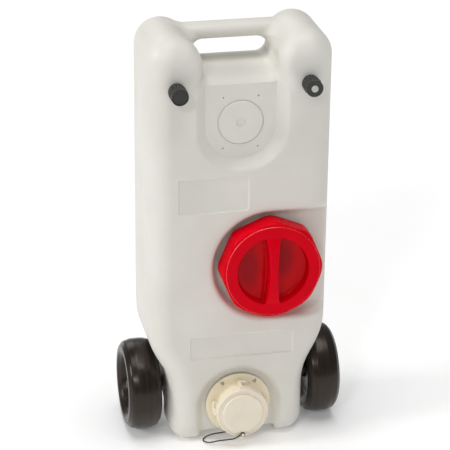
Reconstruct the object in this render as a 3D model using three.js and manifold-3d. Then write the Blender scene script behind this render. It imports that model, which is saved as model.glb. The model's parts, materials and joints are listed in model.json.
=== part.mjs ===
// Portable waste tote: an upright blow-moulded tank on two wheels, with a screw fill cap, a bayonet
// outlet, two vent caps and a tether cord. Millimetres, +Z up, the front faces -Y, origin on the floor.
import * as THREE from "three";
import { mergeVertices } from "three/addons/utils/BufferGeometryUtils.js";
import Module from "manifold-3d";

const wasm = await Module();
wasm.setup();

// ---- driving dimensions ----
const GAP = 0.3; // between pieces that touch
const TANK = {
  halfWidth: 180,
  footHalfWidth: 137,
  footDrop: 3, // the outline runs this far below the floor, which trims it flat
  frontY: -80,
  rearY: 120,
  edge: 45, // rounding of the front and rear edges
  wall: 4,
  footCorner: 28,
  shoulderX: 131,
  shoulderZ: 801,
  shoulderR: 49,
  valleyZ: 772,
  valleyFillet: 20,
};
const HANDLE = { y: 55, z: 827, halfDepth: 24, halfHeight: 19, halfLength: 98 };
const POCKET = { halfWidth: 89, bottomZ: 586, corner: 84, floorY: -60, slope: 20 };
const POCKET_DISC = { z: 678, radius: 43, rise: 1.2, centreRadius: 9 };
const POCKET_MARK = { x: 34, z: [627, 729], radius: 1.2, depth: 1.5 };
const SCOOP = { radius: 114, floorY: -50, slope: 9 };
const ARCH = { radius: 77, floorY: -64.5, slope: 8 };
const UNDERSIDE = { middleZ: 18.5, middleHalfWidth: 78, blockRearY: 14, rearZ: 62, chamferY: 60 };
const REAR_GROOVE = { x: 60, halfWidth: 13, depth: 9, bottomZ: 260, topZ: 690 };
const FILL = { x: 58, z: 382, neckR: 88, boreR: 82, neckEndY: -100, pitch: 10, turns: 1.5 };
const CAP = {
  skirtY: -65,
  shoulderY: -90,
  faceY: -108,
  cornerR: 103,
  boreR: 91.5,
  faceR: 94,
  recessR: 70,
  recessFloorY: -88,
  ribY: -120,
};
const OUTLET = { z: 79, plateR: 66, plateT: 5, spoutR: 45, boreR: 40, spoutEndY: -104 };
const OUTLET_CAP = { rimR: 52.5, rimBackY: -97, rimFaceY: -114.5, faceY: -118, faceR: 40 };
const SCREW = { x: 33, z: 48, shaftR: 2, headR: 4.2, headT: 2.5, length: 17 };
const VENT = { x: 128, z: 756, spigotR: 12.4, boreR: 9.3, spigotEnd: 27, pitch: 3, turns: 1.5 };
const VENT_CAP = { radius: 17, start: 2, end: 37.5, boreR: 13.8, roof: 29.6, ridges: 16 };
const BUTTON = {
  radius: 6.7,
  start: 33,
  end: 39,
  stemR: 1.8,
  discR: 5.5,
  discStart: 16.4,
  discEnd: 18.7,
};
const SPRING = { start: 21.5, end: 32.6, radius: 4.9, wireR: 0.45, turns: 4 };
const AXLE = { y: 28, z: 92, radius: 6, halfLength: 205 };
const WHEEL = { innerX: 150, radius: 92 };
const CORD_R = 1.35;
const PIN = { drop: 47.5, stemR: 1.6, headR: 2.8 };
// The tether's centreline, from the ring at the cap's pin down to the floor and back to the flange.
const TETHER = [
  [-5.6, -116.2, 30.7], [-11.5, -117.3, 27.3], [-18.5, -114.5, 22.6], [-31, -106.5, 17.2],
  [-45.5, -98.6, 12.4], [-58, -92.5, 7], [-67, -84, 3.4], [-71.3, -74.5, 1.8], [-69.5, -66.5, 1.8],
  [-62.5, -63.5, 4.8], [-51.5, -67, 10.6], [-37, -72.4, 15.2], [-22, -76.5, 18.6], [-6, -79.6, 21.6],
  [8, -80.2, 24.6], [19, -77.6, 28.2], [27.4, -73.4, 31],
];

// ---- materials ----
const finish = (color, roughness, metalness = 0) =>
  new THREE.MeshStandardMaterial({ color, roughness, metalness });
const TANK_GREY = () => finish(0xcfcac1, 0.5);
const CAP_RED = () => finish(0xc4081a, 0.32);
const CREAM = () => finish(0xe0d4bf, 0.42);
const BLACK_PLASTIC = () => finish(0x3a3a38, 0.5);
const WHEEL_BLACK = () => finish(0x2b2621, 0.38);
const RUBBER = () => finish(0x1c1c1c, 0.8);
const STEEL = () => finish(0xb4b6b8, 0.3, 1);
const PALE_PLASTIC = () => finish(0xc9d2c6, 0.45);

// ---- solids ----
// A closed three.js geometry as a manifold-3d solid, whichever way its faces were wound.
function solid(geometry) {
  const bare = new THREE.BufferGeometry();
  bare.setAttribute("position", geometry.getAttribute("position"));
  if (geometry.index) bare.setIndex(geometry.index);
  const merged = mergeVertices(bare, 1e-4);
  const from = merged.index.array;
  const tris = [];
  for (let i = 0; i < from.length; i += 3) {
    const [a, b, c] = [from[i], from[i + 1], from[i + 2]];
    if (a !== b && b !== c && c !== a) tris.push(a, b, c);
  }
  const build = (list) =>
    new wasm.Manifold(
      new wasm.Mesh({
        numProp: 3,
        vertProperties: merged.attributes.position.array,
        triVerts: new Uint32Array(list),
      }),
    );
  const made = build(tris);
  return made.volume() < 0 ? build(tris.reverse()) : made;
}

function geometryOf(body) {
  const mesh = body.getMesh();
  const geometry = new THREE.BufferGeometry();
  const points = new Float32Array(mesh.vertProperties);
  geometry.setAttribute("position", new THREE.BufferAttribute(points, 3));
  geometry.setIndex(new THREE.BufferAttribute(new Uint32Array(mesh.triVerts), 1));
  geometry.computeVertexNormals();
  return geometry;
}

const join = (bodies) => bodies.reduce((sum, body) => sum.add(body));
const cut = (body, tools) => tools.reduce((rest, tool) => rest.subtract(tool), body);

// A shape drawn in X and Z, extruded along Y from yBack forward to yFront. A bevel insets both ends.
function alongY(shape, yBack, yFront, bevel = 0, steps = 1, curveSegments = 8) {
  const geometry = new THREE.ExtrudeGeometry(shape, {
    depth: yBack - yFront - 2 * bevel,
    bevelEnabled: bevel > 0,
    bevelThickness: bevel,
    bevelSize: bevel,
    bevelOffset: -bevel,
    bevelSegments: steps,
    curveSegments,
  });
  return solid(geometry.rotateX(Math.PI / 2).translate(0, yBack - bevel, 0));
}

// A shape drawn in Y and Z, extruded along X across the whole of both sides.
function alongX(shape, halfLength, curveSegments = 8) {
  const geometry = new THREE.ExtrudeGeometry(shape, {
    depth: 2 * halfLength,
    bevelEnabled: false,
    curveSegments,
  });
  return solid(geometry.translate(0, 0, -halfLength).rotateX(Math.PI / 2).rotateZ(Math.PI / 2));
}

// A profile of [radius, height] points turned about the height axis, which then points along -Y
// (out of the front) or along +X or -X. A ring's profile closes on itself.
function turned(profile, segments, axis = "front") {
  const points = profile.map(([r, h]) => new THREE.Vector2(r, h));
  if (profile[0][0] > 0) points.push(points[0].clone());
  const geometry = new THREE.LatheGeometry(points, segments);
  if (axis === "front") geometry.rotateX(Math.PI);
  if (axis === "right") geometry.rotateZ(-Math.PI / 2);
  if (axis === "left") geometry.rotateZ(Math.PI / 2);
  return solid(geometry);
}

const disc = (radius, from, to) => [[0, from], [radius, from], [radius, to], [0, to]];
const ring = (inner, outer, from, to) => [[inner, from], [outer, from], [outer, to], [inner, to]];
const box = (x0, x1, y0, y1, z0, z1) =>
  solid(
    new THREE.BoxGeometry(x1 - x0, y1 - y0, z1 - z0).translate((x0 + x1) / 2, (y0 + y1) / 2, (z0 + z1) / 2),
  );

// A right-hand thread ridge about the height axis, on the outside of a neck or the inside of a cap.
function threadRidge({ radius, rise, pitch, turns, start, width, steps }) {
  const positions = [];
  const indices = [];
  const count = Math.round(turns * steps);
  for (let i = 0; i <= count; i++) {
    const angle = (2 * Math.PI * i) / steps;
    const height = start + (pitch * i) / steps;
    const tip = radius + (i === 0 || i === count ? rise * 0.15 : rise);
    const root = radius - Math.sign(rise) * 0.6;
    const section = [[root, -width / 2], [tip, -width / 4], [tip, width / 4], [root, width / 2]];
    for (const [r, h] of section) positions.push(r * Math.sin(angle), height + h, r * Math.cos(angle));
  }
  for (let i = 0; i < count; i++)
    for (let k = 0; k < 4; k++) {
      const [a, b] = [4 * i + k, 4 * i + ((k + 1) % 4)];
      indices.push(a, b, b + 4, a, b + 4, a + 4);
    }
  const last = 4 * count;
  indices.push(0, 2, 1, 0, 3, 2, last, last + 1, last + 2, last, last + 2, last + 3);
  const geometry = new THREE.BufferGeometry();
  geometry.setAttribute("position", new THREE.Float32BufferAttribute(positions, 3));
  geometry.setIndex(indices);
  return solid(geometry.rotateX(Math.PI));
}

// A tube along a smooth curve through points.
function tube(points, radius, sides, steps) {
  const shape = new THREE.Shape();
  for (let i = 0; i < sides; i++) {
    const angle = (2 * Math.PI * i) / sides;
    const [x, y] = [radius * Math.cos(angle), radius * Math.sin(angle)];
    if (i) shape.lineTo(x, y);
    else shape.moveTo(x, y);
  }
  shape.closePath();
  const path = new THREE.CatmullRomCurve3(points.map((p) => new THREE.Vector3(...p)));
  return new THREE.ExtrudeGeometry(shape, { steps, extrudePath: path, bevelEnabled: false });
}

const root = new THREE.Group();
// One named piece: a solid in its own frame, put in its place.
function piece(name, body, material, x = 0, y = 0, z = 0) {
  const mesh = new THREE.Mesh(geometryOf(body), material);
  mesh.name = name;
  mesh.position.set(x, y, z);
  root.add(mesh);
}

// ---- tank ----
// The tank seen from the front, drawn `inset` inside its outer face.
function tankOutline(inset) {
  const t = TANK;
  const side = t.halfWidth - inset;
  const foot = t.footHalfWidth - inset;
  const r = t.shoulderR - inset;
  const flank = t.shoulderX - r;
  const floor = t.valleyZ - inset;
  const fillet = t.valleyFillet + inset;
  const shape = new THREE.Shape();
  shape.moveTo(-foot, inset - t.footDrop);
  shape.lineTo(foot, inset - t.footDrop);
  shape.lineTo(foot, 102);
  shape.bezierCurveTo(foot, 172, side - 2, 182, side, 257);
  shape.lineTo(side, t.shoulderZ);
  shape.absarc(t.shoulderX, t.shoulderZ, r, 0, Math.PI, false);
  shape.absarc(flank - fillet, floor + fillet, fillet, 0, -Math.PI / 2, true);
  shape.absarc(-flank + fillet, floor + fillet, fillet, -Math.PI / 2, -Math.PI, true);
  shape.absarc(-t.shoulderX, t.shoulderZ, r, 0, Math.PI, false);
  shape.lineTo(-side, 257);
  shape.bezierCurveTo(-side + 2, 182, -foot, 172, -foot, 102);
  return shape;
}

// Keeps what stands on the floor, with the rounded outer corners of the two feet.
function floorTrim(inset) {
  const x = TANK.footHalfWidth - inset;
  const r = TANK.footCorner;
  const shape = new THREE.Shape();
  shape.moveTo(-x + r, inset);
  shape.lineTo(x - r, inset);
  shape.absarc(x - r, inset + r, r, -Math.PI / 2, 0, false);
  shape.lineTo(x, 90);
  shape.lineTo(300, 130);
  shape.lineTo(300, 900);
  shape.lineTo(-300, 900);
  shape.lineTo(-300, 130);
  shape.lineTo(-x, 90);
  shape.absarc(-x + r, inset + r, r, Math.PI, 1.5 * Math.PI, false);
  return alongY(shape, 200, -200, 0, 1, 4);
}

function tankBlock(inset) {
  const [steps, curveSegments] = inset ? [2, 3] : [4, 5];
  const block = alongY(
    tankOutline(inset),
    TANK.rearY - inset,
    TANK.frontY + inset,
    TANK.edge - inset,
    steps,
    curveSegments,
  );
  return block.intersect(floorTrim(inset));
}

function pocketTool(grow) {
  const { halfWidth, bottomZ, corner, floorY, slope } = POCKET;
  const [x, z, r] = [halfWidth + grow, bottomZ - grow, corner + grow];
  const shape = new THREE.Shape();
  shape.moveTo(x, 1000);
  shape.lineTo(-x, 1000);
  shape.absarc(-x + r, z + r, r, Math.PI, 1.5 * Math.PI, false);
  shape.absarc(x - r, z + r, r, 1.5 * Math.PI, 2 * Math.PI, false);
  return alongY(shape, floorY + grow, -200, slope, 1, grow ? 5 : 9);
}

function scoopTool(grow) {
  const r = SCOOP.radius + grow;
  const shape = new THREE.Shape();
  shape.moveTo(300, FILL.z + r);
  shape.lineTo(FILL.x, FILL.z + r);
  shape.absarc(FILL.x, FILL.z, r, Math.PI / 2, 1.5 * Math.PI, false);
  shape.lineTo(300, FILL.z - r);
  return alongY(shape, SCOOP.floorY + grow, -200, SCOOP.slope, 1, grow ? 6 : 12);
}

function archTool(grow) {
  const r = ARCH.radius + grow;
  const shape = new THREE.Shape();
  shape.moveTo(r, -80);
  shape.lineTo(r, OUTLET.z);
  shape.absarc(0, OUTLET.z, r, 0, Math.PI, false);
  shape.lineTo(-r, -80);
  return alongY(shape, ARCH.floorY + grow, -200, ARCH.slope, 1, grow ? 6 : 12);
}

// Behind the front block the underside is raised, and it slopes up to the rear, so the tote can tilt.
function undersideTool(grow) {
  const { blockRearY, rearZ, chamferY } = UNDERSIDE;
  const y = blockRearY - grow;
  const z = rearZ + grow;
  const shape = new THREE.Shape();
  shape.moveTo(y, -100);
  shape.lineTo(y, z - 12);
  shape.absarc(y + 12, z - 12, 12, Math.PI, Math.PI / 2, true);
  shape.lineTo(chamferY, z);
  shape.lineTo(chamferY + 100, z + 100);
  shape.lineTo(300, -100);
  return alongX(shape, 250, 4);
}

const middleTool = (grow) =>
  box(
    -UNDERSIDE.middleHalfWidth - grow,
    UNDERSIDE.middleHalfWidth + grow,
    -150,
    100,
    -100,
    UNDERSIDE.middleZ + grow,
  );

// The axle snaps up through a narrow mouth into a round seat across the underside.
function axleTool(grow) {
  const mouth = 4.4 + grow;
  const seat = AXLE.radius + 0.4 + grow;
  const half = Math.asin(mouth / seat);
  const shape = new THREE.Shape();
  shape.moveTo(AXLE.y + mouth, -100);
  shape.lineTo(AXLE.y + mouth, AXLE.z - seat * Math.cos(half));
  shape.absarc(AXLE.y, AXLE.z, seat, -Math.PI / 2 + half, 1.5 * Math.PI - half, false);
  shape.lineTo(AXLE.y - mouth, -100);
  return alongX(shape, 250, 6);
}

// Room for a wheel under each flank.
const wheelTool = (grow, axis) => {
  const room = disc(WHEEL.radius + 8 + grow, WHEEL.innerX - 5 - grow, 300);
  return place(turned(room, grow ? 20 : 28, axis), 0, AXLE.y, AXLE.z);
};

function rearGrooveTool(grow, side) {
  const { x, halfWidth, depth, bottomZ, topZ } = REAR_GROOVE;
  const r = halfWidth + grow;
  const shape = new THREE.Shape();
  shape.absarc(side * x, topZ, r, 0, Math.PI, false);
  shape.absarc(side * x, bottomZ, r, Math.PI, 2 * Math.PI, false);
  return alongY(shape, TANK.rearY + 60, TANK.rearY - depth - grow, 8, 1, 4);
}

// A solid moved by x, y, z, through a three.js geometry.
function place(body, x, y, z) {
  return solid(geometryOf(body).translate(x, y, z));
}

function tankTools(grow) {
  return [
    pocketTool(grow),
    scoopTool(grow),
    archTool(grow),
    undersideTool(grow),
    middleTool(grow),
    axleTool(grow),
    wheelTool(grow, "right"),
    wheelTool(grow, "left"),
    rearGrooveTool(grow, 1),
    rearGrooveTool(grow, -1),
  ];
}

function handleBar(inset) {
  const shape = new THREE.Shape();
  shape.absellipse(
    HANDLE.y,
    HANDLE.z,
    HANDLE.halfDepth - inset,
    HANDLE.halfHeight - inset,
    0,
    2 * Math.PI,
    false,
  );
  return alongX(shape, HANDLE.halfLength - (inset ? 3 : 0), inset ? 10 : 16);
}

// A neck on a face of the tank, from `inside` the wall out to `end`, with its thread.
function neck({ x, z, y, inside, end, radius, segments, thread }) {
  const body = turned(disc(radius, -inside, end), segments).add(threadRidge(thread));
  return place(body, x, y, z);
}

function tankShell() {
  const ventNecks = [-1, 1].map((side) =>
    neck({
      x: side * VENT.x,
      z: VENT.z,
      y: TANK.frontY,
      inside: 9,
      end: VENT.spigotEnd,
      radius: VENT.spigotR - 1,
      segments: 16,
      thread: {
        radius: VENT.spigotR - 1,
        rise: 1,
        pitch: VENT.pitch,
        turns: VENT.turns,
        start: VENT.spigotEnd - 9.5,
        width: 1.3,
        steps: 8,
      },
    }),
  );
  const fillNeck = neck({
    x: FILL.x,
    z: FILL.z,
    y: SCOOP.floorY,
    inside: 3,
    end: SCOOP.floorY - FILL.neckEndY,
    radius: FILL.neckR,
    segments: 30,
    thread: {
      radius: FILL.neckR,
      rise: 2.2,
      pitch: FILL.pitch,
      turns: FILL.turns,
      start: SCOOP.floorY - FILL.neckEndY - 24,
      width: 3.6,
      steps: 30,
    },
  });
  const pocketDisc = place(
    turned(disc(POCKET_DISC.radius, -1, POCKET_DISC.rise), 32),
    0,
    POCKET.floorY,
    POCKET_DISC.z,
  );
  const outside = join([
    cut(tankBlock(0), tankTools(0)),
    handleBar(0),
    ...ventNecks,
    fillNeck,
    pocketDisc,
  ]);
  const screwPad = turned(disc(ARCH.radius - ARCH.slope - 2, -13, 0), 24);
  const inside = cut(tankBlock(TANK.wall), [
    ...tankTools(TANK.wall),
    place(screwPad, 0, ARCH.floorY, OUTLET.z),
  ]).add(handleBar(TANK.wall));
  const hollow = outside.subtract(inside);
  const bores = [
    place(turned(disc(FILL.boreR, -12, 70), 36), FILL.x, SCOOP.floorY, FILL.z),
    place(turned(disc(OUTLET.spoutR - 1, -30, 30), 28), 0, ARCH.floorY, OUTLET.z),
    place(
      turned(disc(POCKET_DISC.centreRadius, POCKET_DISC.rise - 0.8, 5), 16),
      0,
      POCKET.floorY,
      POCKET_DISC.z,
    ),
  ];
  for (const side of [-1, 1]) {
    bores.push(place(turned(disc(VENT.boreR, -12, 40), 16), side * VENT.x, TANK.frontY, VENT.z));
    const mark = turned(disc(POCKET_MARK.radius, -POCKET_MARK.depth, 5), 6);
    for (const z of POCKET_MARK.z) bores.push(place(mark, side * POCKET_MARK.x, POCKET.floorY, z));
    const screwHole = turned(disc(SCREW.shaftR + GAP, -11.5, 5), 8);
    for (const up of [-1, 1])
      bores.push(place(screwHole, side * SCREW.x, ARCH.floorY, OUTLET.z + up * SCREW.z));
  }
  return cut(hollow, bores);
}

// ---- fill cap ----
function roundedOctagon(cornerR, rounding) {
  const shape = new THREE.Shape();
  const steps = 2;
  const reach = cornerR - rounding / Math.cos(Math.PI / 8);
  for (let i = 0; i < 8; i++)
    for (let k = 0; k <= steps; k++) {
      const middle = (i * Math.PI) / 4;
      const angle = middle - Math.PI / 8 + (k / steps) * (Math.PI / 4);
      const x = reach * Math.cos(middle) + rounding * Math.cos(angle);
      const z = reach * Math.sin(middle) + rounding * Math.sin(angle);
      if (i || k) shape.lineTo(x, z);
      else shape.moveTo(x, z);
    }
  shape.closePath();
  return shape;
}

function fillCap() {
  const c = CAP;
  const skirt = alongY(roundedOctagon(c.cornerR, 16), c.skirtY, c.faceY - 20, 0);
  // The cone that takes the octagon down to the round face.
  const cone = turned(
    [[0, -200], [130, -200], [130, 62], [c.cornerR, -c.shoulderY], [c.faceR, -c.faceY], [0, -c.faceY]],
    36,
  );
  const hollow = turned(
    [[0, 40], [c.boreR, 40], [c.boreR, 103.6], [c.recessR + 4, 103.6], [c.recessR + 4, 84], [0, 84]],
    36,
  );
  const recess = turned(disc(c.recessR, -c.recessFloorY, 140), 36);
  const lip = turned(ring(c.faceR - 6.5, c.faceR - 5, -c.faceY - 1, 140), 36);
  const profile = new THREE.Shape();
  profile.moveTo(c.recessFloorY + 1, -c.recessR - 1);
  profile.lineTo(c.faceY, -c.recessR - 1);
  profile.quadraticCurveTo(2 * c.ribY - c.faceY, 0, c.faceY, c.recessR + 1);
  profile.lineTo(c.recessFloorY + 1, c.recessR + 1);
  const waist = new THREE.Shape();
  waist.moveTo(-15, -80);
  waist.lineTo(15, -80);
  waist.quadraticCurveTo(3, 0, 15, 80);
  waist.lineTo(-15, 80);
  waist.quadraticCurveTo(-3, 0, -15, -80);
  const rib = alongX(profile, 40, 8).intersect(alongY(waist, 0, -200, 0, 1, 6));
  const thread = threadRidge({
    radius: c.boreR,
    rise: -2.2,
    pitch: FILL.pitch,
    turns: FILL.turns,
    start: -FILL.neckEndY - 24 - FILL.pitch / 2,
    width: 3.6,
    steps: 30,
  });
  return cut(skirt.intersect(cone), [hollow, recess, lip]).add(rib).add(thread);
}

// ---- outlet ----
const screwPlaces = [[-1, 1], [1, 1], [-1, -1], [1, -1]];
const TETHER_SCREW = 3; // the screw that holds the tether's ring

function sector(inner, outer, from, to, y0, y1) {
  const steps = 2;
  const shape = new THREE.Shape();
  const point = (r, a) => [r * Math.cos(a), r * Math.sin(a)];
  shape.moveTo(...point(inner, from));
  for (let i = 0; i <= steps; i++) shape.lineTo(...point(outer, from + ((to - from) * i) / steps));
  for (let i = steps; i > 0; i--) shape.lineTo(...point(inner, from + ((to - from) * i) / steps));
  shape.closePath();
  return alongY(shape, y0, y1);
}

const DEG = Math.PI / 180;
const plateBackY = ARCH.floorY - 2.2;
const plateFaceY = plateBackY - OUTLET.plateT;

function outletFlange() {
  const body = join([
    turned(ring(OUTLET.boreR, OUTLET.plateR, -plateBackY, -plateFaceY), 28),
    turned(ring(OUTLET.boreR, OUTLET.spoutR, -plateFaceY - 1, -OUTLET.spoutEndY), 28),
    turned(ring(OUTLET.boreR, OUTLET.spoutR - 1 - GAP, -plateBackY - 12, -plateBackY + 1), 20),
    ...[0, 90, 180, 270].map((a) =>
      sector(OUTLET.spoutR - 1, OUTLET.spoutR + 5, (a - 5) * DEG, (a + 5) * DEG, -88, -93),
    ),
  ]);
  const holes = screwPlaces.map(([sx, sz]) =>
    place(turned(disc(SCREW.shaftR + GAP, 50, 90), 6), sx * SCREW.x, 0, sz * SCREW.z),
  );
  return cut(body, holes);
}

function outletGasket() {
  const section = ring(OUTLET.spoutR + 1, OUTLET.plateR - 1, -ARCH.floorY + GAP, -plateBackY - GAP);
  const holes = screwPlaces.map(([sx, sz]) =>
    place(turned(disc(SCREW.shaftR + GAP, 50, 90), 6), sx * SCREW.x, 0, sz * SCREW.z),
  );
  return cut(turned(section, 28), holes);
}

function outletCap() {
  const { rimR, rimBackY, rimFaceY, faceY, faceR } = OUTLET_CAP;
  const inner = OUTLET.spoutR + 0.8;
  const cup = turned(
    [
      [0, -rimFaceY - 6], [inner, -rimFaceY - 6], [inner, -rimBackY], [rimR, -rimBackY],
      [rimR, -rimFaceY - 2], [rimR - 2, -rimFaceY], [faceR + 2, -rimFaceY], [faceR, -faceY], [0, -faceY],
    ],
    32,
  );
  const hooks = [0, 90, 180, 270].flatMap((a) => [
    sector(inner + 0.6, rimR - 2, (a + 7.5) * DEG, (a + 14) * DEG, -83, rimBackY - 1),
    sector(inner + 0.6, rimR - 2, (a - 4) * DEG, (a + 14) * DEG, -83, -87.4),
  ]);
  const tail = new THREE.Shape();
  tail.moveTo(-3, -rimR + 2);
  tail.lineTo(0, -rimR - 5);
  tail.lineTo(3, -rimR + 2);
  const pinHole = place(turned(disc(PIN.stemR + GAP, 108.8, 130), 10), 0, 0, -PIN.drop);
  return join([cup, ...hooks, alongY(tail, rimFaceY + 4, rimFaceY + 1)]).subtract(pinHole);
}

const screw = (extra) =>
  join([
    turned(disc(SCREW.shaftR, SCREW.headT - SCREW.length - 2, 1), 8),
    turned(
      [
        [0, extra], [SCREW.headR, extra], [SCREW.headR, extra + 1.2], [2.4, extra + SCREW.headT],
        [0, extra + SCREW.headT],
      ],
      10,
    ),
    turned(disc(SCREW.shaftR, 0, extra + 1), 8),
  ]);

// A ring of cord about the height axis, round a pin or screw.
function cordRing(stemR) {
  const major = stemR + GAP + CORD_R;
  const profile = [];
  for (let i = 0; i < 6; i++) {
    const angle = (i * Math.PI) / 3;
    profile.push([major + CORD_R * Math.cos(angle), CORD_R * Math.sin(angle)]);
  }
  return turned(profile, 12);
}

// ---- vents ----
function ventCap(withValve) {
  const { radius, start, end, boreR, roof, ridges } = VENT_CAP;
  const shape = new THREE.Shape();
  for (let i = 0; i < 2 * ridges; i++) {
    const angle = (Math.PI * i) / ridges;
    const r = i % 2 ? radius - 1 : radius;
    if (i) shape.lineTo(r * Math.cos(angle), r * Math.sin(angle));
    else shape.moveTo(r, 0);
  }
  shape.closePath();
  const grip = alongY(shape, -start, -end + 6);
  const collar = turned(
    [[0, end - 7], [radius, end - 7], [radius, end - 1.5], [radius - 1.5, end], [0, end]],
    24,
  );
  const bore = turned(disc(boreR, 0, roof), 18);
  const thread = threadRidge({
    radius: boreR,
    rise: -1,
    pitch: VENT.pitch,
    turns: VENT.turns,
    start: VENT.spigotEnd - 9.5 - VENT.pitch / 2,
    width: 1.3,
    steps: 8,
  });
  const cap = grip.add(collar).subtract(bore).add(thread);
  const dish = [[0, end - 0.8], [radius - 3, end], [radius - 3, 60], [0, 60]];
  if (!withValve) return cap.subtract(turned(dish, 24));
  const sleeve = [[3, 19.2], [8.7, 19.2], [8.7, roof + 1], [7, roof + 1], [7, 21.2], [3, 21.2]];
  return cap.subtract(turned(disc(7, 20, 60), 16)).add(turned(sleeve, 16));
}

function ventButton() {
  const { radius, start, end, stemR, discStart } = BUTTON;
  return turned(
    [
      [0, discStart - 1.4], [stemR + 0.8, discStart - 1.4], [stemR + 0.8, discStart - GAP],
      [stemR, discStart - GAP], [stemR, start], [radius, start], [radius, end - 0.8],
      [radius - 0.8, end], [0, end],
    ],
    16,
  );
}

function ventSpring() {
  const { start, end, radius, wireR, turns } = SPRING;
  const steps = 9 * turns;
  const points = [];
  for (let i = 0; i <= steps; i++) {
    const angle = (2 * Math.PI * turns * i) / steps;
    const height = start + wireR + ((end - start - 2 * wireR) * i) / steps;
    points.push([radius * Math.cos(angle), -height, radius * Math.sin(angle)]);
  }
  return solid(tube(points, wireR, 5, steps));
}

// ---- wheels ----
// [radius, distance out from the wheel's inner face]
const WHEEL_SKIN = [
  [6.4, 0], [18, 0], [20, 14], [58, 14], [70, 0], [80, 1], [88, 8], [92, 24],
  [92, 44], [88, 60], [80, 67], [70, 68], [63, 63], [54, 38], [20, 36], [18, 46], [6.4, 46],
];
const WHEEL_CAVITY = [
  [26, 19], [60, 19], [74, 6], [84, 14], [87, 34], [84, 54], [73, 62], [57, 32], [26, 32],
];

function wheel(axis) {
  const needleHole = place(
    turned(disc(2.5, -2, 10), 6, axis),
    0,
    76 * Math.cos(0.6),
    76 * Math.sin(0.6),
  );
  return turned(WHEEL_SKIN, 28, axis).subtract(turned(WHEEL_CAVITY, 16, axis)).subtract(needleHole);
}

// ---- assembly ----
piece("tank_shell", tankShell(), TANK_GREY());
piece("fill_cap", fillCap(), CAP_RED(), FILL.x, 0, FILL.z);
piece(
  "fill_cap_gasket",
  turned(ring(FILL.boreR + 0.5, FILL.neckR + 1.5, -FILL.neckEndY + GAP, 103.6 - GAP), 32),
  RUBBER(),
  FILL.x,
  0,
  FILL.z,
);

piece("outlet_gasket", outletGasket(), RUBBER(), 0, 0, OUTLET.z);
piece("outlet_flange", outletFlange(), CREAM(), 0, 0, OUTLET.z);
screwPlaces.forEach(([sx, sz], i) => {
  const lift = i === TETHER_SCREW ? 2 * CORD_R + 2 * GAP : GAP;
  piece(
    "outlet_screw_" + (i + 1),
    screw(lift),
    STEEL(),
    sx * SCREW.x,
    plateFaceY,
    OUTLET.z + sz * SCREW.z,
  );
});
piece("outlet_cap", outletCap(), CREAM(), 0, 0, OUTLET.z);
piece(
  "outlet_cap_seal",
  turned(ring(OUTLET.boreR - 2, OUTLET.spoutR + 0.4, -OUTLET.spoutEndY + GAP, 108.5 - GAP), 28),
  RUBBER(),
  0,
  0,
  OUTLET.z,
);
const pinBaseY = OUTLET_CAP.rimFaceY;
piece(
  "tether_pin",
  turned(
    [
      [0, -5], [PIN.stemR, -5], [PIN.stemR, 2 * CORD_R + 2 * GAP], [PIN.headR, 2 * CORD_R + 2 * GAP],
      [PIN.headR, 4.2], [PIN.headR - 0.9, 5], [0, 5],
    ],
    12,
  ),
  CREAM(),
  0,
  pinBaseY,
  OUTLET.z - PIN.drop,
);
piece(
  "tether_eye_cap",
  cordRing(PIN.stemR),
  RUBBER(),
  0,
  pinBaseY - GAP - CORD_R,
  OUTLET.z - PIN.drop,
);
piece("tether_cord", solid(tube(TETHER, CORD_R, 8, 36)), RUBBER());
piece(
  "tether_eye_flange",
  cordRing(SCREW.shaftR),
  RUBBER(),
  SCREW.x,
  plateFaceY - GAP - CORD_R,
  OUTLET.z - SCREW.z,
);

for (const [name, side] of [["left", -1], ["right", 1]]) {
  const at = [side * VENT.x, TANK.frontY, VENT.z];
  piece(name + "_vent_cap", ventCap(side > 0), BLACK_PLASTIC(), ...at);
  piece(
    name + "_vent_seal",
    turned(ring(VENT.boreR + 0.2, VENT.spigotR, VENT.spigotEnd + GAP, VENT_CAP.roof - GAP), 18),
    RUBBER(),
    ...at,
  );
  if (side > 0) {
    piece("right_vent_button", ventButton(), PALE_PLASTIC(), ...at);
    piece("right_vent_spring", ventSpring(), STEEL(), ...at);
    piece(
      "right_vent_valve_disc",
      turned(ring(BUTTON.stemR + GAP, BUTTON.discR, BUTTON.discStart, BUTTON.discEnd), 14),
      RUBBER(),
      ...at,
    );
  }
}

piece(
  "axle_rod",
  turned(disc(AXLE.radius, -AXLE.halfLength, AXLE.halfLength), 16, "right"),
  STEEL(),
  0,
  AXLE.y,
  AXLE.z,
);
for (const [name, side] of [["left", -1], ["right", 1]]) {
  const bore = AXLE.radius + GAP;
  const parts = [
    ["axle_spacer", ring(bore, 12, TANK.footHalfWidth + GAP, WHEEL.innerX - GAP), BLACK_PLASTIC()],
    ["wheel_washer", ring(bore, 13, WHEEL.innerX + 46 + GAP, WHEEL.innerX + 48), STEEL()],
    [
      "axle_cap",
      [
        [0, AXLE.halfLength + GAP], [bore, AXLE.halfLength + GAP], [bore, 198.3],
        [11, 198.3], [11, 205], [8, 209], [0, 209.5],
      ],
      BLACK_PLASTIC(),
    ],
  ];
  for (const [part, profile, material] of parts)
    piece(name + "_" + part, turned(profile, 18, name), material, 0, AXLE.y, AXLE.z);
  piece(name + "_wheel", wheel(name), WHEEL_BLACK(), side * WHEEL.innerX, AXLE.y, AXLE.z);
}

export default root;
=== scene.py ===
"""Portable waste tote: the visual model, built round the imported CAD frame. Shapes are given in
millimetres in the row frame (X right, front -Y, Z up) and turned into metres when a mesh is made."""
import bpy
import json
import math
import numpy as np
from mathutils import Matrix, Vector


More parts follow.
